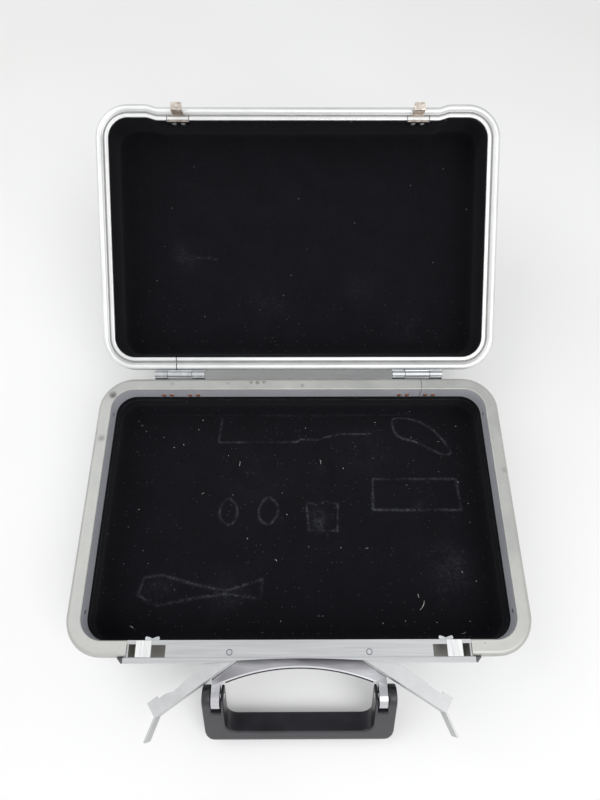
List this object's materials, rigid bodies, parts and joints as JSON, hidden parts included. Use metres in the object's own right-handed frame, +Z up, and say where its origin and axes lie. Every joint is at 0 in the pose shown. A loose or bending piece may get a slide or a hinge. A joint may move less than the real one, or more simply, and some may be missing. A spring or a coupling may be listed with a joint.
{
  "type": "tool case",
  "caption": "Hard aluminium tool case lying open, with black felt linings, a hinged lid, two swinging latch levers and a U-shaped black handle.",
  "frame": {"origin": "middle of the flat underside of the base", "axes": "+Z up out of the base, +X to the right as one stands at the handle, front with the handle at -Y, the open lid at +Y"},
  "size_m": [0.362, 0.5195, 0.1984],
  "materials": {
    "bare_aluminium": "satin, lightly worn",
    "bright_steel": "bright, lightly worn",
    "dark_steel": "dark satin",
    "chromed_steel": "polished",
    "copper_rivet": "copper, dull",
    "black_felt": "matt felt",
    "padding": "matt",
    "black_plastic": "moulded, satin"
  },
  "bodies": {
    "base": {"base_shell": "bare_aluminium", "base_frame": "bare_aluminium", "base_foam": "padding", "base_lining": "black_felt", "base_frame_rivets": "bright_steel", "hinge_base_leaf_left": "bright_steel", "hinge_base_leaf_right": "bright_steel", "hinge_pin_left": "bright_steel", "hinge_pin_right": "bright_steel", "hinge_base_rivets": "copper_rivet", "latch_channel": "bare_aluminium", "keeper_plate_left": "bright_steel", "keeper_plate_right": "bright_steel", "hook_spring_left": "bright_steel", "hook_spring_right": "bright_steel", "latch_end_brackets": "dark_steel", "lever_rivets": "bright_steel", "lever_washers": "bright_steel", "lever_bushes": "bright_steel", "handle_bracket": "chromed_steel", "bracket_rivets": "bright_steel"},
    "lid": {"lid_shell": "bare_aluminium", "lid_frame": "bare_aluminium", "lid_foam": "padding", "lid_lining": "black_felt", "lid_frame_rivets": "bright_steel", "hinge_lid_leaf_left": "bright_steel", "hinge_lid_leaf_right": "bright_steel", "hinge_lid_rivets": "copper_rivet", "lid_hook_left": "bright_steel", "lid_hook_right": "bright_steel", "lid_hook_rivets": "bright_steel"},
    "lever_left": {"latch_lever_left": "bare_aluminium"},
    "lever_right": {"latch_lever_right": "bare_aluminium"},
    "handle": {"handle_grip": "black_plastic", "handle_pins": "bright_steel"}
  },
  "joints": [
    {"name": "lid_hinge", "type": "hinge", "parent": "base", "child": "lid", "pos_m": [0, 0.12175, 0.07015], "axis": [1, 0, 0], "range_deg": [0, 149]},
    {"name": "left_lever_pivot", "type": "hinge", "parent": "base", "child": "lever_left", "pos_m": [-0.0529, -0.1146, 0.067], "axis": [0, 0, -1], "range_deg": [0, 34]},
    {"name": "right_lever_pivot", "type": "hinge", "parent": "base", "child": "lever_right", "pos_m": [0.0529, -0.1146, 0.067], "axis": [0, 0, 1], "range_deg": [0, 31.5]},
    {"name": "handle_swing", "type": "hinge", "parent": "base", "child": "handle", "pos_m": [0, -0.1452, 0.043], "axis": [-1, 0, 0], "range_deg": [0, 115]}
  ]
}
